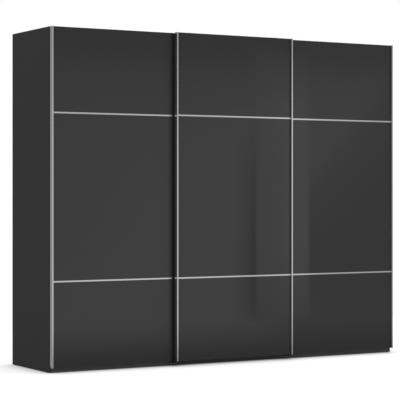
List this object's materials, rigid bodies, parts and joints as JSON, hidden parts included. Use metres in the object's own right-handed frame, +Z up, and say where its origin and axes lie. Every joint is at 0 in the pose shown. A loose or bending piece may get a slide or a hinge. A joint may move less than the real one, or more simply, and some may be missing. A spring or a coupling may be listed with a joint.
{
  "type": "sliding door wardrobe",
  "caption": "Wide free-standing wardrobe whose dark glass doors hang from a top rail and slide in two rows, with aluminium grip strips, hat shelves and clothes rails.",
  "frame": {"origin": "on the floor, under the centre of the bounding box", "axes": "+X along the width to the right seen from the front, +Y from the doors to the back, +Z up"},
  "size_m": [2.71, 0.668, 2.2275],
  "materials": {
    "graphite_board": "matte graphite laminate on chipboard",
    "back_board": "printed hardboard",
    "door_board": "matte graphite laminate on chipboard",
    "grey_glass": "polished glass, painted graphite on its back",
    "aluminium": "satin anodised",
    "zinc_steel": "zinc plated",
    "nylon": "moulded nylon",
    "rubber": "moulded rubber",
    "dark_plastic": "moulded dark plastic"
  },
  "bodies": {
    "carcass": {"left_side_panel": "graphite_board", "right_side_panel": "graphite_board", "left_partition": "graphite_board", "right_partition": "graphite_board", "left_floor_panel": "graphite_board", "left_top_panel": "graphite_board", "left_back_panel": "back_board", "left_hat_shelf": "graphite_board", "left_clothes_rail": "aluminium", "middle_floor_panel": "graphite_board", "middle_top_panel": "graphite_board", "middle_back_panel": "back_board", "middle_hat_shelf": "graphite_board", "middle_clothes_rail": "aluminium", "right_floor_panel": "graphite_board", "right_top_panel": "graphite_board", "right_back_panel": "back_board", "right_hat_shelf": "graphite_board", "right_clothes_rail": "aluminium", "back_joint_strips": "dark_plastic", "plinth_boards": "graphite_board", "floor_glides": "dark_plastic", "shelf_supports": "zinc_steel", "rail_cups": "zinc_steel", "running_rail": "aluminium", "end_stops": "rubber", "door_guides": "dark_plastic"},
    "left_door": {"left_door_board": "door_board", "left_door_top_glass": "grey_glass", "left_door_middle_glass": "grey_glass", "left_door_bottom_glass": "grey_glass", "left_door_cross_strips": "aluminium", "left_door_left_handle": "aluminium", "left_door_right_handle": "aluminium", "left_door_hangers": "zinc_steel", "left_door_axles": "zinc_steel"},
    "left_door_left_wheel": {"left_door_left_wheel": "nylon"},
    "left_door_right_wheel": {"left_door_right_wheel": "nylon"},
    "middle_door": {"middle_door_board": "door_board", "middle_door_top_glass": "grey_glass", "middle_door_middle_glass": "grey_glass", "middle_door_bottom_glass": "grey_glass", "middle_door_cross_strips": "aluminium", "middle_door_left_handle": "aluminium", "middle_door_right_handle": "aluminium", "middle_door_hangers": "zinc_steel", "middle_door_axles": "zinc_steel"},
    "middle_door_left_wheel": {"middle_door_left_wheel": "nylon"},
    "middle_door_right_wheel": {"middle_door_right_wheel": "nylon"},
    "right_door": {"right_door_board": "door_board", "right_door_top_glass": "grey_glass", "right_door_middle_glass": "grey_glass", "right_door_bottom_glass": "grey_glass", "right_door_cross_strips": "aluminium", "right_door_left_handle": "aluminium", "right_door_right_handle": "aluminium", "right_door_hangers": "zinc_steel", "right_door_axles": "zinc_steel"},
    "right_door_left_wheel": {"right_door_left_wheel": "nylon"},
    "right_door_right_wheel": {"right_door_right_wheel": "nylon"}
  },
  "joints": [
    {"name": "left_door_slide", "type": "slide", "parent": "carcass", "child": "left_door", "axis": [1, 0, 0], "range_m": [0, 0.43]},
    {"name": "left_door_left_wheel_spin", "type": "hinge", "parent": "left_door", "child": "left_door_left_wheel", "pos_m": [-1.2215, -0.23, 2.1713], "axis": [0, 1, 0], "continuous": true},
    {"name": "left_door_right_wheel_spin", "type": "hinge", "parent": "left_door", "child": "left_door_right_wheel", "pos_m": [-0.5615, -0.23, 2.1713], "axis": [0, 1, 0], "continuous": true},
    {"name": "middle_door_slide", "type": "slide", "parent": "carcass", "child": "middle_door", "axis": [1, 0, 0], "range_m": [-0.891, 0.891]},
    {"name": "middle_door_left_wheel_spin", "type": "hinge", "parent": "middle_door", "child": "middle_door_left_wheel", "pos_m": [-0.33, -0.19, 2.1713], "axis": [0, 1, 0], "continuous": true},
    {"name": "middle_door_right_wheel_spin", "type": "hinge", "parent": "middle_door", "child": "middle_door_right_wheel", "pos_m": [0.33, -0.19, 2.1713], "axis": [0, 1, 0], "continuous": true},
    {"name": "right_door_slide", "type": "slide", "parent": "carcass", "child": "right_door", "axis": [1, 0, 0], "range_m": [-0.43, 0]},
    {"name": "right_door_left_wheel_spin", "type": "hinge", "parent": "right_door", "child": "right_door_left_wheel", "pos_m": [0.5615, -0.23, 2.1713], "axis": [0, 1, 0], "continuous": true},
    {"name": "right_door_right_wheel_spin", "type": "hinge", "parent": "right_door", "child": "right_door_right_wheel", "pos_m": [1.2215, -0.23, 2.1713], "axis": [0, 1, 0], "continuous": true}
  ],
  "couplings": [
    {"joint": "left_door_left_wheel_spin", "follows": "left_door_slide", "rad_per_m": 58.824},
    {"joint": "left_door_right_wheel_spin", "follows": "left_door_slide", "rad_per_m": 58.824},
    {"joint": "middle_door_left_wheel_spin", "follows": "middle_door_slide", "rad_per_m": 58.824},
    {"joint": "middle_door_right_wheel_spin", "follows": "middle_door_slide", "rad_per_m": 58.824},
    {"joint": "right_door_left_wheel_spin", "follows": "right_door_slide", "rad_per_m": 58.824},
    {"joint": "right_door_right_wheel_spin", "follows": "right_door_slide", "rad_per_m": 58.824}
  ]
}
